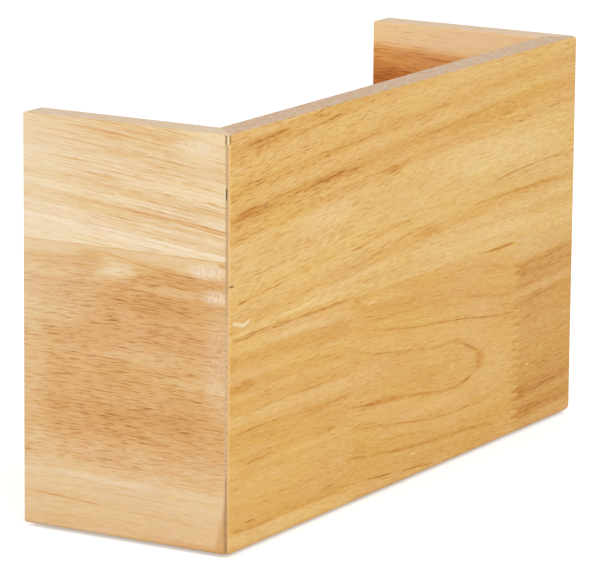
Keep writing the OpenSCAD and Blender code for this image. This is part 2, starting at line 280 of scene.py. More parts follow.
class Wood(Graph):
    """Board coordinates in millimetres: s along the grain, t down or across it, d into it.

    tone is how dark the wood is, from 0 for its lightest fibre up to RAMP_REACH.
    """

    def __init__(self, name, seed, axes):
        """axes are s, t and d, each as (axis letter, value at zero in metres, sign)."""
        super().__init__(name)
        self.seed = seed
        place = self.coordinates()
        self.s, self.t, self.d = (
            self.times(self.minus(place["XYZ".index(axis)], zero), sign * MM)
            for axis, zero, sign in axes
        )
        self.end = self.normal["XYZ".index(axes[0][0])]
        self.grain = self.t
        self.rag = None
        # How far the grain wanders up and down, in millimetres
        wander = self.times(self.noise(self.cells(120, 22, shift=1), 1), 2.4)
        wander = self.more(self.noise(self.cells(26, 4, shift=2), 0), 0.8, wander)
        self.wander = wander
        self.across = self.add(self.t, wander)

    def cells(self, length, width, depth=None, shift=0, along=None):
        """The place in grain-following cells of that size in millimetres."""
        return self.vector(self.over(along or self.s, length),
                           self.add(self.over(self.grain, width), self.seed + shift),
                           self.over(self.d, depth or width))

    def bands(self, levels, feather=1.6, reach=260):
        """Tone of the growth rings: levels are (millimetres across the grain, tone)."""
        rings = self.add(self.grain, self.wander)
        rings = self.more(self.noise(self.cells(26, 1.1, shift=3), 1), feather * 2, rings)
        self.tone = self.curve(rings, levels, reach, RAMP_REACH)

    def fibres(self, clouds=0.18, streaks=0.25, strands=0.25, hairs=0.45):
        """Cloudy patches, streaks, strands a few millimetres apart, and hairs between them."""
        self.broad = self.tone
        self.strand = self.noise(self.cells(24, 1.3, shift=4), 1, 0.4)
        self.hair = self.noise(self.cells(7, 0.95, shift=5), 0)
        cloud = self.noise(self.cells(55, 16, shift=6), 1)
        streak = self.noise(self.cells(85, 3.4, shift=7), 1)
        for noise, share in ((cloud, clouds), (streak, streaks), (self.strand, strands),
                             (self.hair, hairs)):
            self.tone = self.more(noise, share, self.tone)

    def pores(self, rows, crowding=0.22, share=1):
        """Dark vessel lines in crowds, from rows as in EVEN_PORES."""
        crowd = self.times(self.noise(self.cells(46, 9, shift=9), 1), crowding)
        self.pore = 0
        # Rows of cells slide past each other, so that no dashes line up across the grain.
        slid = self.more(self.grain, PORE_SLIDE, self.s)
        for number, (tone, length, width, start, full) in enumerate(rows):
            dash = self.noise(self.cells(length, width, shift=20 + number, along=slid), 0)
            dash = self.remap(self.add(dash, crowd), start, full)
            self.pore = self.more(dash, tone, self.pore)
        self.tone = self.more(self.pore, share, self.tone)

    def line_mask(self, points, width, feather, tone=1, total=0):
        """Mask of a line through (s, t) points, times tone, on top of total."""
        (start, high), (end, low) = points[0], points[-1]
        if len(points) == 2:
            middle = self.remap(self.s, start, end, high, low, smooth=False)
        else:
            middle = self.curve(self.s, points, WIDTH, HEIGHT)
        return self.group(DRAWN_LINE, self.s, self.across, middle, start, end, width,
                          feather, tone, total)

    def strokes(self, rows, feather=0.2, gaps=0.5):
        """Adds drawn lines to the tone: rows are (tone, width, point, point, ...)."""
        total = 0
        for tone, width, *points in rows:
            total = self.line_mask(points, width * STROKE_WIDTH, feather,
                                   tone * STROKE_TONE, total)
        broken = self.remap(self.noise(self.cells(14, 1.1, shift=15), 0), -0.16, 0.12,
                            gaps, 1.1)
        self.tone = self.more(total, broken, self.tone)

    def ragged(self):
        """Noise that frays the ends of patches, made once for each wood."""
        if self.rag is None:
            self.rag = self.noise(self.cells(16, 1.4, shift=10), 2)
        return self.rag

    def patch_mask(self, centre, size, softness=0.7, rag=1):
        """Mask of one soft patch at (s, t), ragged along the grain."""
        return self.group(SOFT_PATCH, self.s, self.across, *centre, *size,
                          self.times(self.ragged(), rag), 1 - softness, 1, 0)

    def patches(self, rows):
        """Adds soft patches to the tone: rows are (tone, centre, size)."""
        for tone, centre, size in rows:
            self.tone = self.group(SOFT_PATCH, self.s, self.across, *centre, *size,
                                   self.ragged(), 0.3, tone, self.tone)

    def paint(self, ramp, drift=1, even=0.55, rich=0.5):
        """Tone to colour: richer where broad zones are darker than even, with a drift in hue."""
        self.colour = self.ramp(self.math("MAXIMUM", self.tone, 0), ramp, RAMP_REACH)
        depth = self.minus(self.broad, even)
        factor = self.vector(1, self.more(depth, rich * -0.2, 1), self.more(depth, -rich, 1))
        for cells, share in ((self.cells(75, 24, shift=40), (-0.01, 0.04, 0.45)),
                             (self.cells(30, 4.5, shift=41), (-0.02, 0.045, 0.26)),
                             (self.cells(8, 1.1, shift=42), (-0.04, 0.13, 0.45))):
            share = tuple(drift * value for value in share)
            hues = self.noise_node(cells, 1).outputs["Color"]
            hues = self.vector_math("SUBTRACT", hues, (0.5,) * 3)
            factor = self.vector_math("MULTIPLY_ADD", hues, share, factor)
        self.colour = self.mix(1, self.colour, factor, "MULTIPLY")

    def edge_tint(self, colour, blush):
        """Sawn top edges: a duller colour, with pinkish fibres and dark flecks, and painted shade
        along the rounded arris.
        """
        up = self.remap(self.normal[2], 0.5, 0.9)
        fibre = self.field((self.s, 9), (self.d, 1.1), self.seed)
        both = self.mix(self.remap(fibre, -0.1, 0.12), colour, blush)
        fleck = self.field((self.s, 5), (self.d, 0.8), self.seed + 5, detail=0)
        fleck = self.times(self.remap(fleck, 0.12, 0.24), 0.35)
        both = self.mix(fleck, both, linear(150, 118, 92))
        worn = self.remap(self.noise(self.cells(16, 1.2, 1.2, 14), 2), -0.2, 0.2, 0.75, 1)
        self.tint(both, up, worn, 0.85)
        # Painted shade: the rounded arris between the top edge and the face is darkened.
        arris = self.remap(self.absolute(self.minus(self.normal[2], 0.62)), 0.25, 0.1)
        self.tint((166, 126, 86), arris, 0.25)

    def end_grain(self, middle):
        """Sawn board ends: bent rings and open pores; middle is mid-thickness, as a d."""
        deep = self.minus(self.d, middle)
        rings = self.add(self.t, self.times(deep, 0.7), self.times(deep, deep, 0.03))
        rings = self.field(0, (rings, 1.7), self.seed)
        pores = self.field((self.t, 0.55), (self.d, 0.55), self.seed, detail=0)
        dark = self.add(self.remap(rings, -0.12, 0.2, 0.2, 0.6),
                        self.remap(pores, 0.1, 0.24, 0, 0.35))
        ends = self.remap(self.absolute(self.end), 0.8, 0.97)
        self.tint((196, 146, 92), ends, dark)

    def finish(self, roughness=(0.44, 0.6)):
        """Puts colour, sheen and the relief of the fibres on the shader."""
        self.surface({"Base Color": self.colour, "Specular IOR Level": 0.28,
                      "Roughness": self.remap(self.strand, -0.3, 0.3, *roughness)})
        relief = self.more(self.pore, -1.2, self.add(self.strand, self.hair))
        self.bump(relief, 0.22, 0.0002)
        return self.material


def mitre_corner(wood, turn):
    """The rounded corner: a brown sanded strip with glue lines, pits and a light rim that is a
    painted highlight.

    turn is how far a point is past the corner's middle, in millimetres: below 0 on the wing.
    """
    # The strip leans a little across the corner from top to foot.
    past = wood.add(turn, wood.remap(wood.t, 0, HEIGHT, 0.8, 0, smooth=False))
    ragged = wood.field(past, (wood.t, 3.5), 3)
    speckle = wood.field((past, 0.8), (wood.t, 1.2), 8, detail=1)
    upright = wood.remap(wood.absolute(wood.normal[2]), 0.8, 0.5)
    foot = wood.remap(wood.t, 205, 232)
    edge = wood.more(ragged, 0.7, past)

    def stripe(middle, half, feather=0.45):
        """Mask of a stripe down the corner, half its width on each side of middle."""
        away = wood.absolute(wood.minus(edge, middle))
        return wood.times(wood.remap(away, half + feather, half - feather), upright)

    # The sanded strip, with a darker line above, a dull one below and the light rim, a painted
    # highlight
    brown = wood.ramp(wood.t, [(0, (198, 166, 122)), (92, (194, 159, 114)),
                               (112, (205, 170, 128)), (190, (204, 168, 126)),
                               (214, (196, 158, 112)), (250, (182, 140, 92))], HEIGHT)
    wood.tint(brown, stripe(-1, 1.1), 0.9)
    wood.tint((178, 138, 90), stripe(-0.85, 0.4), wood.remap(wood.t, 120, 90), 0.4)
    wood.tint((176, 138, 98), stripe(-2.5, 0.5), foot, 0.7)
    # Painted highlight: a light line along the rounding, just past the corner's middle.
    wood.tint((234, 190, 128), stripe(0.85, 0.7), 0.5)
    # Light and dark specks of glue on it
    mid_height = wood.remap(wood.absolute(wood.minus(wood.t, 155)), 70, 40)
    strip = stripe(-1, 1.6)
    wood.tint((236, 224, 196), strip, mid_height, wood.remap(speckle, 0.03, 0.2), 0.5)
    wood.tint((158, 122, 82), strip, wood.remap(speckle, -0.06, -0.24), 0.4)
    # Small pits below the seam, one long void above it, and a crack at the foot
    pits = wood.field(2, (wood.t, 1.7), 0, detail=0)
    pits = wood.times(wood.remap(pits, 0.12, 0.24), wood.remap(wood.t, 90, 100))
    wood.tint((112, 80, 50), stripe(-1.2, 0.3, 0.3), pits, 0.85)
    void = wood.remap(wood.absolute(wood.minus(wood.t, 35.2)), 3.9, 3)
    wood.tint((82, 54, 28), stripe(-1.5, 0.5), void, 0.95)
    wood.tint((244, 232, 208), stripe(-2.5, 0.3), void, 0.6)
    crack = wood.remap(wood.t, 198, 208)
    wood.tint((130, 96, 60), stripe(-1.5, 0.25, 0.3), crack, 0.75)
    # The top few millimetres, with light in the middle and dark on both sides
    cap = wood.remap(wood.t, 7.5, 4.5)
    wood.tint((244, 222, 184), stripe(-0.1, 0.7), cap, 0.85)
    wood.tint((148, 114, 74), stripe(-1.9, 0.65), cap, 0.8)
    wood.tint((132, 92, 48), stripe(1.35, 0.6), cap, 0.85)


# ---- Each stave's own figure ----

# Board coordinates for Wood
ALONG_X = (("X", LOW.x, 1), ("Z", HIGH.z, -1), ("Y", LOW.y, 1))
ALONG_Y = (("Y", HIGH.y, -1), ("Z", HIGH.z, -1), ("X", LOW.x, 1))
BASE_X = (("X", LOW.x, 1), ("Y", LOW.y, 1), ("Z", LOW.z, 1))
ALONG_Z = (("Z", HIGH.z, -1), ("X", LOW.x, 1), ("Y", LOW.y, 1))
# Colours of the sawn top edges, and of the wing near its free end
FRONT_EDGE = (linear(192, 160, 130), linear(212, 190, 176))
WING_EDGE = (linear(210, 184, 148), linear(224, 198, 176))
FREE_END = (240, 222, 190)


def front_upper():
    """The long upper stave: grain climbs to the right in broad brown and cream bands."""
    wood = Wood("front_upper", 1, ALONG_X)
    # Lines of grain climb 24 mm to the right, most of it on the left.
    share = wood.over(wood.s, WIDTH)
    climb = wood.minus(39, wood.times(share, 15.2))
    wood.grain = wood.more(share, climb, wood.t)
    wood.bands([(0, .42), (4, .42), (7, .38), (10, .58), (13, .57), (15, .56), (17, .57),
                (19, .46), (22, .4), (25, .37), (29, .45), (33, .44), (35, .53), (37, .61),
                (39, .58), (41, .49), (44, .4), (47, .48), (50, .62), (53, .66), (56, .6),
                (59, .51), (61, .47), (63, .55), (66, .49), (70, .33), (77, .38), (85, .37),
                (91, .32), (97, .34), (101, .43), (105, .34), (110, .46), (116, .52),
                (121, .3), (126, .46), (131, .47), (135, .31), (142, .34), (170, .4)])
    wood.patches([
        (.22, (30, 49), (75, 9)), (.22, (120, 43), (110, 9)), (.4, (191, 50.5), (34, 8)),
        (.28, (238, 97.5), (44, 11)), (.28, (40, 9), (80, 10)), (.1, (320, 36), (200, 7)),
        (.2, (375, 90), (130, 6)), (-.2, (330, 61), (230, 26)), (-.22, (120, 116.5), (190, 6)),
        (-.18, (300, 110), (260, 14)), (.25, (88, 95), (14, 5)), (.22, (134, 80), (26, 9)),
        (-.15, (110, 68), (120, 22)),
    ])
    wood.fibres()
    wood.pores(EVEN_PORES, share=wood.remap(wood.s, 130, 260, 1, 0.8))
    # The upper left is coarser, with short dark vessel lines.
    where = wood.times(wood.remap(wood.s, 290, 70), wood.remap(wood.t, 78, 48))
    short = wood.remap(wood.noise(wood.cells(9, 0.6, shift=30), 0), 0.15, 0.24)
    long = wood.remap(wood.noise(wood.cells(22, 0.6, shift=33), 0), 0.17, 0.25)
    coarse = wood.add(wood.times(short, 0.48), wood.times(long, 0.52))
    wood.tone = wood.more(coarse, where, wood.tone)
    wood.strokes([
        (.75, 1.3, (16, 10.6), (45, 7.6), (75, 5.6)), (.85, 1.3, (79, 10.6), (107, 8.7), (143, 5)),
        (.6, 1.3, (12, 15.8), (21, 14.9)), (.6, 1.2, (131, 16.3), (147, 15)),
        (.55, 1.1, (34, 24), (43, 23)), (.6, 1.2, (30, 29.8), (47, 26.3)),
        (.55, 1.2, (20, 28), (30, 26.8)), (.45, 1.2, (2, 31.8), (40, 31.5), (64, 30), (75, 29.2)),
        (.6, 1.4, (62, 32.8), (75, 32)), (.4, 1.6, (104, 26.5), (140, 27), (186, 23.6)),
        (.45, 1.5, (3, 48.5), (28, 47.2), (60, 44.5), (90, 42.4)),
        (.45, 1.6, (3, 51.5), (20, 51), (42, 49.6)),
        (.55, 1.4, (68, 46.8), (92, 44.8), (136, 41.2)), (.8, 1.3, (106, 44.5), (115, 44.4)),
        (.75, 1.2, (124, 42), (135, 41.2)), (.7, 1.2, (84, 46.6), (91, 46.2)),
        (.75, 1.2, (134, 46.2), (141, 45.8)), (.55, 1.1, (36, 54.6), (46, 54.3)),
        (.7, 1.2, (89, 53.2), (100, 53)), (.55, 1.1, (70, 52), (86, 51.2)),
        (.8, 1.3, (190, 54.2), (202, 53.2)), (.6, 1.3, (3, 64.5), (26, 62.6), (51, 59.4)),
        (.45, 1.1, (37, 75.8), (50, 75)), (.45, 1.1, (36, 72), (60, 68.9), (88, 66)),
        (.45, 1.2, (4, 88.6), (50, 85.6), (87, 84.2)),
        (.9, 1.6, (141, 92.6), (153, 91.4), (165, 90.2)),
        (.5, 1.2, (165, 90.2), (190, 86.4), (217, 85.4)), (.55, 1.2, (159, 86.2), (169, 85.4)),
        (.55, 1.1, (2, 102.6), (34, 99.6), (69, 96.9)),
        (.45, 1.6, (120, 105.6), (165, 100.4), (217, 93.8), (262, 90)),
        (.4, 1.2, (139, 108.5), (166, 104), (193, 102.4)),
        (.4, 1.1, (232, 76.4), (258, 71), (272, 66.2)),
        (.4, 1.1, (246, 75.6), (268, 70.4), (284, 65.2)),
        (.75, 1.5, (312, 80.2), (338, 77.2), (360, 75.6), (401, 74.4), (432, 76.6)),
        (.5, 1.8, (282, 87.8), (304, 89.8), (350, 89.4), (391, 89.8), (424, 92)),
        (.7, 1.1, (336, 30.2), (342, 30)), (.7, 1.2, (332, 37), (347, 36.8)),
        (.65, 1.2, (358, 36.4), (367, 36.2)), (.65, 1.2, (355, 45), (362, 44.6)),
        (.75, 1.2, (365, 43.6), (372, 43.4)), (.6, 1.2, (394, 41.6), (412, 41)),
        (.5, 1.2, (354, 12), (383, 11.8)), (.55, 1.1, (290, 48.6), (300, 48), (312, 47.6)),
        (.5, 1.1, (312, 48.8), (328, 48), (350, 47.8)),
        (.45, 1.4, (217, 36.6), (270, 32.6), (330, 29)),
        (.4, 1.4, (217, 47.6), (262, 43.6), (310, 41.4)),
    ])
    seam = [(2, FRONT_SEAM - 0.4), (70, FRONT_SEAM - 0.6), (146, FRONT_SEAM - 0.3)]
    wood.strokes([(0.8, 1.3, *seam)], feather=0.02)
    wood.paint(HONEY)
    smear = wood.line_mask([(3.5, 111.6), (9, 112.8), (17.5, 114.6), (24, 111.8)], 2.4, 0.08)
    wood.tint((250, 234, 196), smear, 0.62)
    wood.tint((236, 206, 130), wood.patch_mask((368, 7), (7, 3)), 0.5)
    wood.tint((240, 206, 146), wood.patch_mask((243.7, 99.6), (5, 4.5)), 0.5)
    wood.tint((112, 76, 44), wood.line_mask([(0.4, 89.6), (4.6, 89.6)], 1.2, 0.05))
    mitre_corner(wood, wood.minus(wood.s, wood.d))
    wood.edge_tint(*FRONT_EDGE)
    return wood.finish()


def front_lower_left():
    """The lower left piece: nearly level, even grain."""
    wood = Wood("front_lower_left", 17, ALONG_X)
    wood.grain = wood.more(wood.s, -0.015, wood.t)
    wood.bands([(121, .5), (125, .47), (128, .4), (130, .46), (132, .64), (135, .72),
                (140, .62), (146, .46), (149, .62), (152, .66), (156, .53), (158, .5),
                (160, .63), (166, .62), (169, .38), (172, .38), (175, .55), (177, .54),
                (179, .74), (182, .62), (187, .66), (191, .58), (196, .62), (200, .42),
                (203, .56), (208, .5), (214, .54), (220, .53), (223, .62), (229, .58),
                (233, .64), (236, .72), (238, .6), (240, .34), (243, .28), (246, .42), (252, .5)],
               reach=300)
    wood.patches([
        (.25, (16, 152), (46, 8)), (.18, (104, 182.5), (70, 6)), (.15, (30, 200), (60, 16)),
        (-.12, (70, 129), (150, 4)),
    ])
    wood.fibres(hairs=0.4)
    wood.pores(QUIET_PORES, share=0.85)
    wood.strokes([
        (.5, 1.2, (2, 178.8), (77, 178.6)), (.6, 1.2, (46, 187), (52, 186.8)),
        (.6, 1.2, (20, 198), (37, 197.8)), (.55, 1.2, (113, 197.9), (126, 197.7)),
        (.6, 1.1, (94, 211.1), (98, 211)), (.5, 1.2, (20, 234.1), (32, 234)),
        (.55, 1.2, (104, 233.6), (125, 233.4)), (.6, 1.5, (2, 237.6), (30, 238.3), (57, 238)),
        (.4, 1.2, (60, 145.6), (96, 146.4), (140, 147.4)),
        (.35, 1.2, (4, 168), (60, 167.4), (120, 168.6)),
    ])
    seam = [(2, FRONT_SEAM + 0.5), (74, FRONT_SEAM + 0.4), (146, FRONT_SEAM + 0.5)]
    wood.strokes([(0.85, 1.5, *seam)], feather=0.02)
    wood.paint(HONEY)
    glue_dots(wood)
    mitre_corner(wood, wood.minus(wood.s, wood.d))
    return wood.finish()


def glue_dots(wood):
    """Light beads of glue at the finger tips of the left joint."""
    half_pitch = 2.75  # half of the fingers' spacing
    row = wood.math("PINGPONG", wood.t, half_pitch)
    for column, inward in zip(LEFT_JOINT, (0.6, -0.6)):
        tip = wood.remap(wood.absolute(wood.minus(wood.s, column + inward)), 1.1, 0.3)
        bead = wood.remap(row, half_pitch - 1.2, half_pitch - 0.3)
        patchy = wood.remap(wood.field(column, (wood.t, 9), 0, detail=1), -0.1, 0.15)
        fade = wood.remap(wood.t, 150, 200, 0.25, 0.8)
        wood.tint((240, 212, 158), tip, bead, wood.times(patchy, fade), 0.7)


def front_lower_middle():
    """The lower middle piece: a long cathedral figure that closes near its right end."""
    wood = Wood("front_lower_middle", 31, ALONG_X)
    centre = wood.curve(wood.s, [(120, 169), (145, 172.5), (174, 178.2), (217, 183.1),
                                 (245, 187.3), (272, 188.4), (294, 190), (310, 191),
                                 (350, 192)], WIDTH, HEIGHT)
    # The dark ring's squared distance from the middle line; dark_ring is its ring, squared.
    dark_ring = 240
    spread = wood.curve(wood.s, [(120, 320), (145, 285), (174, 250), (217, 215), (245, 216),
                                 (272, 230), (290, 118), (309.5, 0.5), (350, 0)],
                        WIDTH, 400)
    # Past the tip, where the dark ring closes, the spread falls on below zero.
    past = wood.math("MAXIMUM", wood.minus(wood.s, 309.5), 0)
    spread = wood.add(spread, wood.times(past, -6.1))
    off = wood.minus(wood.across, centre)
    rings = wood.add(wood.times(off, off), wood.minus(dark_ring, spread))
    rings = wood.math("SQRT", wood.math("MAXIMUM", rings, 0))
    slope = wood.remap(wood.t, 160, 205, -0.1, -0.055)
    wood.grain = wood.more(wood.minus(wood.s, 217), slope, wood.t)
    ragged = wood.more(wood.noise(wood.cells(26, 1.1, shift=3), 1), 1.6, rings)
    wood.tone = wood.curve(ragged, [(0, .62), (6, .6), (10, .56), (13.4, .57), (15.2, .62),
                                    (16, .7), (17, .51), (22, .5), (27, .56), (30, .6),
                                    (31, .66), (33, .52), (40, .6), (46, .66), (48, .6),
                                    (56, .62), (66, .5), (74, .45)], 100, RAMP_REACH)
    wood.patches([
        (-.06, (330, 205), (60, 40)), (.1, (230, 188), (90, 12)), (.05, (220, 240), (150, 14)),
        (-.15, (180, 128), (90, 8)), (-.12, (240, 210), (120, 8)), (.07, (210, 134), (120, 12)),
        (-.18, (156, 174), (64, 20)), (.2, (182, 193.5), (90, 7)), (.12, (340, 166), (50, 14)),
        (.45, (334, 123.2), (58, 3.4)), (.28, (305.5, 190.8), (12, 17)),
    ])
    wood.fibres(hairs=0.4)
    wood.pores(QUIET_PORES, share=0.85)
    wood.strokes([
        (.27, 3, (140, 189.3), (155, 191.9), (185, 194.3), (217, 196.9), (250, 201.6),
         (277, 203.2), (289, 200.4), (303, 196.2), (309, 193.4)),
        (.22, 3, (238, 172.9), (256, 172.4), (272, 173.4), (284, 176.6), (294, 181.2),
         (303, 184.6), (309, 187.6)),
        (.12, 3.2, (136, 154), (145, 155.6), (174, 161.9), (217, 168.8), (244, 172.6)),
        (.34, 2.6, (135, 221.9), (176, 225.6), (217, 229.6), (250, 232.2), (279, 233.8),
         (329, 236.4), (348, 235)), (.2, 2.6, (145, 139.5), (185, 141), (230, 142.4), (270, 145.6)),
        (.22, 2.6, (272, 145), (300, 149.4), (345, 155.6)), (.3, 2, (320, 132.8), (346, 139.8)),
        (.25, 2, (306, 135.6), (330, 137.2)), (.2, 2.4, (310, 174.4), (330, 178), (346, 180.2)),
    ], gaps=0.9)
    # The thin darker rims of the rings, and the glue line
    wood.strokes([
        (.55, 1.3, (141, 190.2), (150, 191), (160, 192.4)),
        (.45, 1.2, (156, 192), (166, 192.6), (182, 193.8)),
        (.5, 1.3, (212, 196.4), (232, 198.8), (252, 202.2)),
        (.6, 1.1, (268, 203.2), (289, 200.8), (307, 196.4)),
        (.6, 1.1, (280, 175.8), (294, 181), (306, 185.6)),
        (.66, 1.1, (150, 144.4), (185, 149.2), (217, 154), (250, 157.2), (284, 160.8),
         (317, 165.6), (346, 169)),
        (.44, 1, (142, 205.6), (180, 208.6), (217, 213.8), (250, 217.8), (282, 219.2),
         (310, 219.4), (348, 216.3)), (.32, 1, (174, 216.8), (205, 220.4), (242, 224.2)),
        (.6, 1.5, (133, 221.4), (146, 222.2), (164, 224.4)),
        (.34, 1, (180, 226.4), (217, 230.2), (250, 232.8)),
        (1, 1.4, (160, 238.6), (176, 240), (197, 241.4)),
        (.85, 1.2, (204, 242.8), (220, 244), (238, 244.6)), (.8, 1.2, (226, 245.4), (250, 246.8)),
        (.4, 1.1, (134, 237.6), (150, 238.4), (164, 240.2)), (.4, 1, (158, 136.6), (168, 137.4)),
        (.36, 1, (236, 139), (262, 141)), (.5, 1, (300, 122.9), (357, 123.1)),
    ], gaps=0.7)
    wood.paint(HONEY)
    wood.tint((236, 200, 126), wood.patch_mask((270.3, 188.8), (4.4, 5.5), 0.5, 0.5), 0.6)
    wood.tint((244, 214, 150), wood.line_mask([(161, 129.4), (172, 129.4)], 1.2, 0.2), 0.6)
    wood.tint((244, 218, 160), wood.line_mask([(217, 234.8), (226, 235.2)], 1.2, 0.2), 0.6)
    glue_dots(wood)
    return wood.finish()


def front_lower_right():
    """The lower right piece: redder and darker, with a dip in its lowest rings."""
    wood = Wood("front_lower_right", 43, ALONG_X)
    wood.grain = wood.more(wood.minus(wood.s, 390), 0.04, wood.t)
    wood.bands([(120, .46), (129, .52), (133, .6), (136, .66), (138, .92), (143, .9),
                (145, .98), (148, .88), (152, .94), (155, .7), (158, .68), (161, .88),
                (164, .94), (170, .84), (173, .9), (178, .82), (183, .78), (187, .84),
                (193, .8), (200, .86), (210, .9), (214, .87), (219, .96), (223, 1.05),
                (226, .98), (230, .84), (235, 1.04), (239, 1.02), (241, .96), (244, .75),
                (252, .68)], reach=300)
    wood.patches([
        (.16, (364, 143.5), (26, 9)), (.12, (362, 224), (30, 14)), (-.2, (352, 150), (16, 18)),
        (.1, (372, 238), (50, 8)),
    ])
    wood.fibres(hairs=0.4)
    wood.pores(QUIET_PORES, share=0.85)
    wood.strokes([
        (.28, 1.8, (350, 141.4), (372, 140.8), (432, 137.8)),
        (.24, 1.8, (349, 147), (380, 146.6), (428, 147.4)),
        (.24, 1.8, (350, 154.6), (380, 154.2), (420, 153.2)),
        (.24, 2, (358, 165.4), (385, 163.6), (416, 161.4)),
        (.36, 2, (352, 223.6), (362, 226.6), (372, 229), (390, 224.6), (428, 225)),
        (.24, 2.2, (354, 235), (390, 236.6), (428, 238.8)),
    ])
    wood.paint(HONEY, even=1.04)
    wood.tint((240, 204, 150), wood.patch_mask((372, 206.9), (6, 2), 0.5, 0.5), 0.6)
    wood.tint((232, 194, 134), wood.patch_mask((389.4, 198.8), (6, 3), 0.5, 0.5), 0.4)
    return wood.finish()


def left_upper():
    """The left wing's upper stave: cream, with straight thin orange lines."""
    wood = Wood("left_upper", 59, ALONG_Y)
    # Lines of grain fall toward the corner, a little bulged on the way.
    wood.grain = wood.more(wood.s, -0.1, wood.t)
    bulge = wood.times(wood.s, wood.minus(DEPTH, wood.s))
    wood.grain = wood.more(bulge, 0.0002, wood.add(wood.grain, 15))
    wood.bands([(3, .28), (6, .34), (10, .5), (13, .5), (16, .53), (21, .5), (24, .44),
                (26, .52), (28, .5), (30, .43), (33, .34), (36, .33), (39, .31), (44, .31),
                (46, .36), (48, .48), (50, .6), (52, .38), (54, .3), (56, .22), (58, .44),
                (60, .68), (62, .38), (64, .52), (66, .28), (68, .24), (70, .38), (72, .36),
                (74, .06), (78, .12), (83, .24), (88, .12), (92, .16)], feather=1.2, reach=100)
    wood.fibres(clouds=0.12, streaks=0.24, strands=0.34, hairs=0.42)
    wood.pores(LINED_PORES, crowding=0.1)
    wood.strokes([
        (.34, .8, (.5, 5.6), (30, 8.6), (70, 11.6)), (.28, .8, (.5, 10.4), (44, 14.4), (96, 17)),
        (.34, .8, (1, 25), (36, 31.2), (72, 34.6)), (.28, .8, (40, 24), (84, 31), (140, 37.6)),
        (.32, .8, (20, 33.6), (60, 38.2), (98, 41.4)),
        (.36, .9, (1, 46), (34, 49.6), (62, 52.6), (112, 55.6)),
        (.3, .8, (30, 43.8), (78, 48.4), (140, 53.4)), (.3, .8, (54, 56), (90, 58.2), (128, 61)),
        (.28, .8, (40, 63.6), (86, 65.4), (140, 69.6)),
    ])
    cream = wood.patch_mask((128, 12), (70, 30), 0.9, 0.4)
    wood.paint(PALE, drift=0.6, even=0.42, rich=0.15)
    wood.tint(FREE_END, wood.remap(wood.s, 60, 0, 0, 0.46, smooth=False))
    wood.tint((238, 219, 180), cream, 0.45)
    chalk(wood, (121, 9.5), (44, 15), 0.6)
    mitre_corner(wood, wood.minus(wood.add(wood.s, wood.d), DEPTH))
    wood.edge_tint(*WING_EDGE)
    wood.end_grain(BOARD / 2)
    return wood.finish()


def chalk(wood, centre, size, amount):
    """A whitish patch of filler rubbed into the pores, in short upright dashes."""
    dots = wood.field((wood.s, 1.5), (wood.t, 3.6), wood.seed, detail=1)
    mask = wood.patch_mask(centre, size, 0.8, 0.8)
    wood.tint((243, 226, 202), mask, wood.remap(dots, -0.14, 0.12, 0.3, 1), amount)


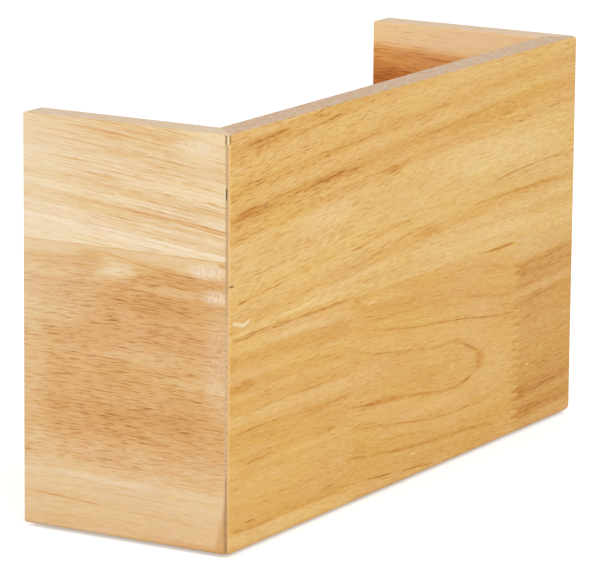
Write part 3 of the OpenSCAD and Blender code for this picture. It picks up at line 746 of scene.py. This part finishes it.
def left_lower():
    """The left wing's lower stave: a tan heart full of pore dashes, light at its foot."""
    wood = Wood("left_lower", 61, ALONG_Y)
    bulge = wood.times(wood.math("SINE", wood.times(wood.s, math.pi / DEPTH)),
                       wood.remap(wood.t, 84, 125, 3, 1))
    wood.grain = wood.add(wood.t, bulge, wood.times(wood.s, -0.02))
    wood.bands([(70, .62), (76, .6), (80, .62), (83, .74), (86, .98), (90, .94), (94, .77),
                (97, .8), (99, .98), (104, 1), (110, .95), (115, .91), (120, 1),
                (132, 1), (139, .93), (145, .98), (150, .92), (157, .97), (163, .96),
                (170, 1.02), (179, .94), (187, .97), (193, .88), (198, .81), (204, .84),
                (207, .76), (210, .67), (213, .55), (216, .46), (219, .57), (225, .54),
                (229, .66), (232, .65), (236, .6), (241, .66), (252, .6)], feather=2.6, reach=300)
    wood.patches([
        (-.54, (66, 87.5), (44, 16)), (-.1, (124, 80), (50, 10)), (.25, (46, 80), (26, 8)),
        (.22, (100, 92), (110, 12)), (.18, (95, 108), (90, 22)), (.16, (78, 178), (90, 24)),
        (.14, (112, 172), (50, 30)), (-.14, (90, 138), (90, 16)), (-.16, (120, 150), (70, 12)),
        (-.16, (26, 120), (40, 16)), (-.24, (4, 150), (36, 130)), (-.1, (14, 200), (40, 30)),
        (-.1, (128, 205), (50, 10)),
    ])
    wood.fibres(clouds=0.24, streaks=0.16, strands=0.22, hairs=0.32)
    heart = wood.times(wood.remap(wood.grain, 82, 92), wood.remap(wood.grain, 216, 200),
                       wood.remap(wood.s, 142, 104, 0.55, 1))
    wood.pores(HEART_PORES, crowding=0.1, share=wood.more(heart, 0.64, 0.26))
    wood.strokes([
        (.5, 1.1, (44, 76.4), (66, 80), (92, 84.6), (142, 87.6)),
        (.35, 1.1, (2, 86.6), (30, 84), (50, 80.6)),
        (.65, 1.2, (.5, 227.8), (26, 229.4), (62, 231.4)), (.6, 1.1, (2, 200.7), (15, 200.9)),
        (.4, 1, (14, 120.6), (26, 119.6), (34, 122.6)),
        (.4, 1, (10, 125.6), (22, 123.8), (36, 127)), (.4, 1, (8, 132), (20, 129), (34, 131.6)),
        (.42, 1, (86, 118), (120, 119.6)), (.38, 1, (72, 146), (110, 147)),
        (.38, 1, (100, 160.2), (138, 161.2)), (.35, 1, (20, 150.4), (48, 151.4)),
        (.38, 1, (46, 186), (92, 186.8)), (.38, 1, (88, 198.6), (126, 199.4)),
        (.3, 1, (1, 212.6), (60, 212), (142, 215.2)), (.3, 1, (1, 216.4), (40, 217.4), (84, 219)),
        (.26, 1, (20, 221.6), (70, 222.6), (120, 225.8)),
        (.3, 1, (66, 232.4), (96, 233.4), (132, 235.6)),
        (.26, 1, (2, 237), (50, 238.4), (100, 241)), (.24, 1, (30, 243), (90, 245.2), (130, 246.4)),
        (.45, 1.1, (30, 88.6), (52, 87.4), (64, 89)),
        (.45, 1.1, (90, 91.6), (120, 94.6), (141, 95.4)),
        (.4, 1, (60, 102.6), (84, 103.4), (104, 106)), (.4, 1, (52, 134), (76, 134.6), (98, 136.4)),
        (.4, 1, (96, 131.4), (120, 132.4), (140, 132)), (.36, 1, (104, 136.4), (140, 137.6)),
        (.4, 1, (36, 141.2), (60, 141), (80, 143.4)),
        (.36, 1, (96, 153.4), (118, 154.6), (142, 155.2)),
        (.4, 1, (40, 166), (66, 166.6), (92, 168.8)), (.4, 1, (12, 176), (40, 176.4), (64, 178.6)),
        (.4, 1, (76, 190), (104, 190.8), (124, 192.8)),
        (.36, 1, (4, 192), (22, 191.4), (44, 193.6)),
    ])
    seam = [(1, LEFT_SEAM + 0.5), (70, LEFT_SEAM + 0.4), (142, LEFT_SEAM + 0.6)]
    wood.strokes([(0.45, 0.8, *seam)], feather=0.02)
    wood.paint(PALE, drift=0.6, even=0.92, rich=0.15)
    wood.tint(FREE_END, wood.remap(wood.s, 60, 0, 0, 0.3, smooth=False),
              wood.remap(wood.t, 142, 112))
    chalk(wood, (129, 82.5), (38, 13), 0.7)
    chalk(wood, (135, 96.5), (28, 12), 0.7)
    chalk(wood, (135, 138), (24, 90), 0.28)
    wood.tint((216, 158, 90), wood.patch_mask((138.5, 77.8), (9, 4)), 0.8)
    drift = wood.times(wood.field(0, (wood.t, 16), 1, detail=1), 5)
    amber = wood.remap(wood.add(wood.s, wood.times(wood.t, 0.22), drift), 186.5, 191)
    wood.tint((212, 162, 102), amber, wood.remap(wood.t, 202, 230), 0.85)
    wood.tint((216, 160, 98), wood.remap(wood.t, 244, 248), wood.remap(wood.s, 60, 120), 0.6)
    wood.tint((240, 208, 130), wood.patch_mask((104, 220), (9, 5)), 0.4)
    mitre_corner(wood, wood.minus(wood.add(wood.s, wood.d), DEPTH))
    wood.end_grain(BOARD / 2)
    return wood.finish()


def right_upper():
    """The right wing's upper stave: light at the top of its inner face, brown below, the darker
    depths partly painted shade inside the stand.
    """
    wood = Wood("right_upper", 73, ALONG_Y)
    wood.grain = wood.more(wood.s, -0.05, wood.t)
    # Darker with depth below the top edge, most about 39 mm down: partly the wood's rings, partly
    # painted shade inside the stand.
    wood.bands([(0, .12), (9, .16), (12, .26), (14.5, .5), (17, .86), (20, .98), (24, 1.02),
                (28, 1.12), (31, 1.32), (35, 1.48), (39, 1.6), (44, 1.46), (50, 1.22),
                (60, 1.06), (70, .98), (82, 1.08), (100, 1)], reach=120)
    # The outer face is kept lighter, since the dark band deep on the inner face is partly painted
    # shade.
    heart = wood.add(wood.d, wood.times(wood.t, 0.12), wood.times(wood.wander, 1.5))
    outer = wood.remap(heart, WIDTH - 10, WIDTH - 4)
    wood.tone = wood.more(wood.times(outer, wood.tone), -0.42, wood.tone)
    wood.patches([(0.3, (108, 11), (26, 5)), (-0.3, (96, 46), (60, 8))])
    wood.fibres(clouds=0.22, streaks=0.2, strands=0.16, hairs=0.24)
    wood.pores(QUIET_PORES)
    wood.strokes([
        (.35, 1.6, (30, 21), (70, 22.6), (110, 20.4), (142, 21.6)),
        (.3, 1.6, (40, 29), (90, 28), (142, 30.4)),
    ])
    wood.paint(AMBER_WITH_SHADE, even=0.6)
    wood.edge_tint(*WING_EDGE)
    wood.end_grain(WIDTH - BOARD / 2)
    return wood.finish()


def plain(name, seed, axes, ramp, tone, edge=None, middle=None):
    """A stave with streaks, fibres and pores but no drawn figure; middle is for open ends."""
    wood = Wood(name, seed, axes)
    cloud = wood.noise(wood.cells(210, 11, shift=12), 3, 0.55)
    streaky = wood.noise(wood.cells(60, 2.6, shift=13), 2)
    wood.tone = wood.more(cloud, 1.3, wood.more(streaky, 0.5, tone))
    wood.fibres()
    wood.pores(EVEN_PORES)
    wood.paint(ramp, even=tone)
    if edge:
        wood.edge_tint(*edge)
    if middle is not None:
        wood.end_grain(middle)
    return wood.finish()


# ---- Moulded materials ----

class Moulded(Graph):
    """A moulded surface: x, y and z are millimetres in the shared frame at rest."""

    def __init__(self, name):
        super().__init__(name)
        self.x, self.y, self.z = (self.times(value, MM) for value in self.coordinates())

    def grains(self, length, width, height, detail=2):
        """Noise in cells of that size in millimetres."""
        return self.field((self.x, length), (self.y, width), (self.z, height), detail=detail)

    def drops(self, size, radius):
        """Dried round drops with a stronger rim, in some squares of that size in millimetres."""
        node = self.node("ShaderNodeTexVoronoi", feature="F1")
        self.feed(node.inputs[0], self.vector(self.x, self.y, 0))
        node.inputs["Scale"].default_value = 1 / size
        node.inputs["Randomness"].default_value = 0.75
        chance, spread, _ = self.split(node.outputs["Color"])
        away = self.over(node.outputs["Distance"],
                         self.remap(spread, 0, 1, radius * 0.45, radius, smooth=False))
        return self.times(self.remap(chance, 0.5, 0.62), self.remap(away, 1, 0.88),
                          self.remap(away, 0.62, 0.84, 0.4, 1))


def tray_plastic():
    """Dark grey moulded plastic: fine texture, dust, scuffs, dried drops and a painted highlight
    along the rim.
    """
    part = Moulded("tray_plastic")
    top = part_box("drip_tray")[1][2] * MM
    mottle = part.grains(26, 26, 26, 3)
    part.colour = part.mix(part.remap(mottle, -0.25, 0.25), linear(58, 61, 64),
                           linear(72, 75, 77))
    up = part.remap(part.normal[2], 0.5, 0.9)
    low = part.remap(part.z, top - 4, top - 9)
    dust = part.remap(part.grains(18, 11, 9, 3), -0.02, 0.3)
    part.tint((138, 130, 116), dust, up, low, 0.4)
    scuff = part.remap(part.grains(21, 0.55, 1, 0), 0.24, 0.33)
    cross = part.remap(part.grains(0.6, 13, 1, 0), 0.27, 0.35)
    scuff = part.math("MAXIMUM", scuff, cross)
    part.tint((124, 124, 122), scuff, up, 0.35)
    part.tint((150, 148, 142), part.drops(19, 0.24), up, low, 0.32)
    # Painted highlight: a lighter grey band, in patches, along the top of the rim.
    rim = part.remap(part.z, top - 1.2, top - 0.2)
    part.tint((112, 113, 112), rim, part.remap(part.grains(9, 9, 2, 2), -0.1, 0.2, 0.3, 1), 0.45)
    roughness = part.more(scuff, 0.12, part.remap(mottle, -0.3, 0.3, 0.42, 0.56))
    part.surface({"Base Color": part.colour, "Roughness": roughness})
    part.bump(part.more(scuff, -0.5, part.grains(0.55, 0.55, 0.55, 1)), 0.28, 0.00015)
    return part.material


def pad_rubber():
    """Black rubber pads, matt with a little dust."""
    part = Moulded("pad_rubber")
    speck = part.grains(1.4, 1.4, 1.4, 3)
    dust = part.remap(part.grains(5, 5, 2, 2), 0.02, 0.3)
    part.colour = part.mix(part.remap(speck, -0.3, 0.3), linear(38, 37, 36), linear(56, 54, 52))
    part.tint((120, 112, 100), dust, 0.5)
    roughness = part.remap(speck, -0.3, 0.3, 0.72, 0.9)
    part.surface({"Base Color": part.colour, "Roughness": roughness})
    part.bump(speck, 0.35, 0.0002)
    return part.material


def beech(name, seed, axes):
    """Turned dowels and pressed biscuits: plain beech with short dark flecks."""
    wood = Wood(name, seed, axes)
    wood.tone = 0.42
    wood.fibres(clouds=0.2, streaks=0.2, strands=0.2, hairs=0.4)
    wood.pores([(0.55, 3.2, 0.55, 0.1, 0.24)])
    wood.paint(PALE, even=0.42)
    return wood.finish((0.5, 0.66))


# ---- Lights, floor and camera ----

def scene_object(name, data):
    thing = bpy.data.objects.new(name, data)
    SCENE.collection.objects.link(thing)
    return thing


def set_camera():
    """A long lens at the stand's left front corner, a little above it."""
    azimuth = math.radians(59.53)
    elevation = math.radians(12.1)
    roll = math.radians(0.51)
    distance = 2.888
    aim = Vector((-0.0056, 0.0056, LOW.z + 0.1164))
    data = bpy.data.cameras.new("camera")
    data.sensor_width = 36
    data.lens = 277.2
    camera = scene_object("camera", data)
    camera.matrix_world = (Matrix.Translation(aim) @ Matrix.Rotation(-azimuth, 4, "Z")
                           @ Matrix.Rotation(math.pi / 2 - elevation, 4, "X")
                           @ Matrix.Rotation(roll, 4, "Z")
                           @ Matrix.Translation((0, 0, distance)))
    SCENE.camera = camera


def area_light(name, place, power):
    """A square lamp aimed at the middle of the stand."""
    data = bpy.data.lights.new(name, "AREA")
    data.shape = "SQUARE"
    data.size = 1.6
    data.energy = power
    lamp = scene_object(name, data)
    lamp.location = place
    aim = Vector((0, 0, 0.12)) - Vector(place)
    lamp.rotation_euler = aim.to_track_quat("-Z", "Y").to_euler()


def set_world(strength):
    """White all round, and plain white where the camera sees it."""
    world = bpy.data.worlds.new("studio")
    SCENE.world = world
    world.use_nodes = True
    tree = world.node_tree
    background = tree.nodes["Background"]
    background.inputs["Color"].default_value = (1, 1, 1, 1)
    rays = tree.nodes.new("ShaderNodeLightPath")
    level = tree.nodes.new("ShaderNodeMapRange")
    level.inputs["To Min"].default_value = strength
    level.inputs["To Max"].default_value = 1
    tree.links.new(rays.outputs["Is Camera Ray"], level.inputs["Value"])
    tree.links.new(level.outputs[0], background.inputs["Strength"])


def set_floor():
    """A pale floor whose shadow stays while the rest of it reads as white."""
    reach = 6
    mesh = bpy.data.meshes.new("floor")
    corners = [(-reach, -reach), (reach, -reach), (reach, reach), (-reach, reach)]
    mesh.from_pydata([(x, y, LOW.z) for x, y in corners], [], [(0, 1, 2, 3)])
    floor = scene_object("floor", mesh)
    graph = Graph("floor_white")
    rays = graph.node("ShaderNodeLightPath")
    glow = graph.times(rays.outputs["Is Camera Ray"], 0.42)
    graph.surface({"Base Color": (0.85, 0.85, 0.85, 1), "Roughness": 0.9,
                   "Specular IOR Level": 0, "Emission Color": (1, 1, 1, 1),
                   "Emission Strength": glow})
    mesh.materials.append(graph.material)


SCENE.view_settings.view_transform = "Standard"
set_camera()
set_world(strength=0.78)
set_floor()
area_light("key", place=(-1.6, -2.2, 2.4), power=36)
area_light("fill", place=(-2.6, 0.6, 1.2), power=7)


# ---- Materials onto nodes ----

finishes = {
    "front_upper_stave": front_upper(),
    "front_lower_left_stave": front_lower_left(),
    "front_lower_middle_stave": front_lower_middle(),
    "front_lower_right_stave": front_lower_right(),
    "left_upper_stave": left_upper(),
    "left_lower_stave": left_lower(),
    "right_upper_stave": right_upper(),
    "right_lower_stave": plain("right_lower", 87, ALONG_Y, PALE, 0.95, middle=WIDTH - BOARD / 2),
    "base_front_stave": plain("base_front", 91, BASE_X, HONEY, 0.5),
    "base_rear_stave": plain("base_rear", 97, BASE_X, PALE, 0.75),
    "upper_rail": plain("upper_rail", 103, ALONG_X, HONEY, 0.5, edge=FRONT_EDGE),
    "lower_rail": plain("lower_rail", 109, ALONG_X, PALE, 0.8, edge=WING_EDGE),
    "base_dowels": beech("base_dowels", 113, ALONG_X),
    "rail_dowels": beech("rail_dowels", 117, ALONG_X),
    "left_mitre_biscuits": beech("left_biscuits", 121, ALONG_Z),
    "right_mitre_biscuits": beech("right_biscuits", 127, ALONG_Z),
    "drip_tray": tray_plastic(),
    "foot_pads": pad_rubber(),
}
for node, material in finishes.items():
    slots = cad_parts[node].data.materials
    slots.clear()
    slots.append(material)
